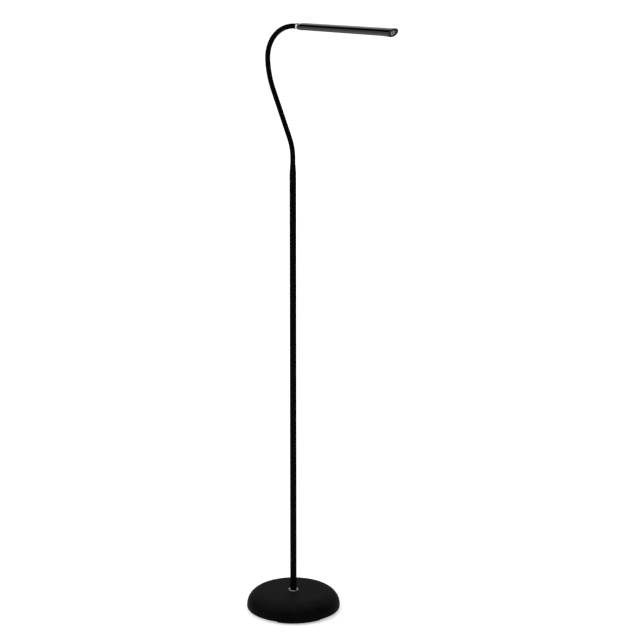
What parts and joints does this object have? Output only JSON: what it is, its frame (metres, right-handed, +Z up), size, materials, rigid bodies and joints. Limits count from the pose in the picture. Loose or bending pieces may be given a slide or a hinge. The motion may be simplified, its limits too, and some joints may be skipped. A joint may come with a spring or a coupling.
{
  "type": "gooseneck reading floor lamp",
  "caption": "Slim black floor lamp: round weighted base, straight pole, flexible gooseneck and a long narrow light head with a touch face at its front end.",
  "frame": {"origin": "centre of the round base, on the floor", "axes": "+Z up along the pole, +X the way the head points, +Y to the head's side"},
  "size_m": [0.3559, 0.2, 1.309],
  "materials": {
    "black_painted_metal": "satin black powder coat",
    "cast_iron": "rough, as cast",
    "zinc_plated_steel": "bright zinc",
    "black_rubber": "matt smooth rubber",
    "wound_steel": "oiled steel",
    "lead_sheath": "matt black",
    "terminal_plastic": "cream, matt",
    "chrome": "polished",
    "gloss_black_plastic": "high gloss",
    "opal_plastic": "opal, satin",
    "plain_aluminium": "plain rolled",
    "circuit_board": "white solder mask",
    "light_chip": "yellow phosphor",
    "satin_metal": "satin"
  },
  "bodies": {
    "stand": {"base_cover": "black_painted_metal", "base_plate": "zinc_plated_steel", "base_weight": "cast_iron", "plate_screws": "zinc_plated_steel", "foot_pads": "black_rubber", "cable_bush": "black_rubber", "terminal_block": "terminal_plastic", "base_stud": "zinc_plated_steel", "stud_washer": "zinc_plated_steel", "stud_nut": "zinc_plated_steel", "stud_spacer": "zinc_plated_steel", "base_ring": "chrome", "pole_lower": "black_painted_metal", "pole_middle": "black_painted_metal", "pole_upper": "black_painted_metal", "pole_joiner_lower": "zinc_plated_steel", "pole_joiner_upper": "zinc_plated_steel", "pole_foot_bush": "zinc_plated_steel", "neck_ferrule": "black_painted_metal", "supply_lead": "lead_sheath", "neck_sleeve_0": "black_rubber", "neck_core_0": "wound_steel"},
    "neck_link_1": {"neck_sleeve_1": "black_rubber", "neck_core_1": "wound_steel"},
    "neck_link_2": {"neck_sleeve_2": "black_rubber", "neck_core_2": "wound_steel"},
    "neck_link_3": {"neck_sleeve_3": "black_rubber", "neck_core_3": "wound_steel"},
    "neck_link_4": {"neck_sleeve_4": "black_rubber", "neck_core_4": "wound_steel"},
    "neck_link_5": {"neck_sleeve_5": "black_rubber", "neck_core_5": "wound_steel"},
    "neck_link_6": {"neck_sleeve_6": "black_rubber", "neck_core_6": "wound_steel"},
    "head": {"neck_sleeve_7": "black_rubber", "neck_core_7": "wound_steel", "neck_collar": "chrome", "head_lead": "lead_sheath", "rear_cap": "gloss_black_plastic", "head_shell": "gloss_black_plastic", "diffuser": "opal_plastic", "heat_plate": "plain_aluminium", "led_board": "circuit_board", "board_screws": "zinc_plated_steel", "led_chips": "light_chip", "front_cap": "gloss_black_plastic", "touch_pad": "satin_metal", "touch_ring": "chrome", "touch_window": "gloss_black_plastic", "touch_board": "circuit_board", "touch_contact": "zinc_plated_steel"}
  },
  "joints": [
    {"name": "neck_bend_1", "type": "hinge", "parent": "stand", "child": "neck_link_1", "pos_m": [-0.00021, 0, 1.008], "axis": [0, 1, 0], "range_deg": [-30, 22]},
    {"name": "neck_sway_2", "type": "hinge", "parent": "neck_link_1", "child": "neck_link_2", "pos_m": [-0.01396, 0, 1.05573], "axis": [0.9178, 0, 0.3971], "range_deg": [-25, 25]},
    {"name": "neck_bend_3", "type": "hinge", "parent": "neck_link_2", "child": "neck_link_3", "pos_m": [-0.03382, 0, 1.10161], "axis": [0, 1, 0], "range_deg": [-30, 22]},
    {"name": "neck_sway_4", "type": "hinge", "parent": "neck_link_3", "child": "neck_link_4", "pos_m": [-0.05348, 0, 1.14758], "axis": [0.936, 0, 0.3519], "range_deg": [-25, 25]},
    {"name": "neck_bend_5", "type": "hinge", "parent": "neck_link_4", "child": "neck_link_5", "pos_m": [-0.06425, 0, 1.19624], "axis": [0, 1, 0], "range_deg": [-30, 22]},
    {"name": "neck_sway_6", "type": "hinge", "parent": "neck_link_5", "child": "neck_link_6", "pos_m": [-0.05385, 0, 1.24427], "axis": [0.8585, 0, -0.5127], "range_deg": [-25, 25]},
    {"name": "neck_bend_7", "type": "hinge", "parent": "neck_link_6", "child": "head", "pos_m": [-0.01645, 0, 1.2761], "axis": [0, 1, 0], "range_deg": [-30, 22]}
  ]
}
